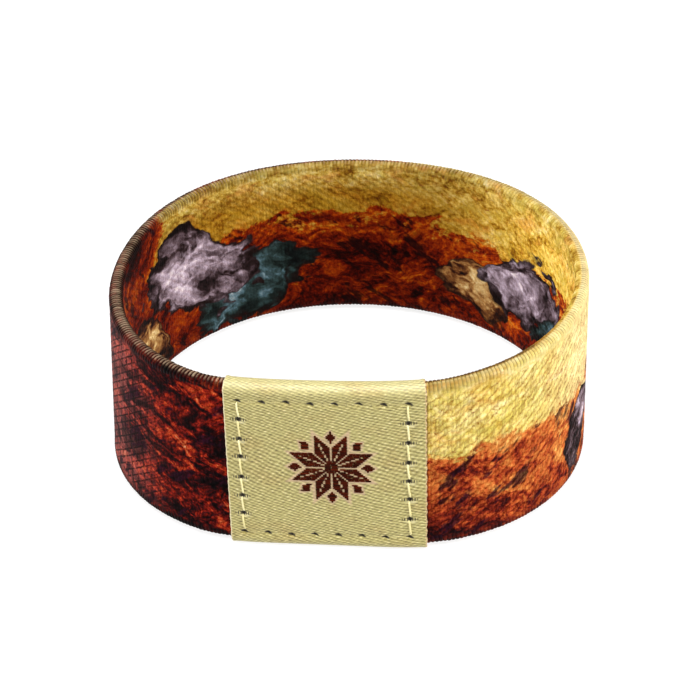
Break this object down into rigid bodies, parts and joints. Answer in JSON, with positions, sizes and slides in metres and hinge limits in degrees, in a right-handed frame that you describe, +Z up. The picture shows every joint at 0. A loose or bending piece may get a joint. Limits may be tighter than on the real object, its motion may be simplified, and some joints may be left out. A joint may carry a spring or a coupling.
{
  "type": "printed elastic bracelet",
  "caption": "Wide printed elastic band bent into a loop, its join wrapped and sewn inside a folded woven label.",
  "frame": {"origin": "centre of the footprint, on the surface that the bracelet stands on", "axes": "+Z up through the loop, along the wrist; the label faces -Y; +X is to the right of the label"},
  "size_m": [0.0668, 0.0648, 0.0258],
  "materials": {
    "printed_elastic": "woven elastic with an all-over print, matte with a slight sheen on its edges",
    "woven_label": "satin twill ribbon"
  },
  "bodies": {
    "root": {"band": "printed_elastic", "label": "woven_label"}
  },
  "joints": []
}
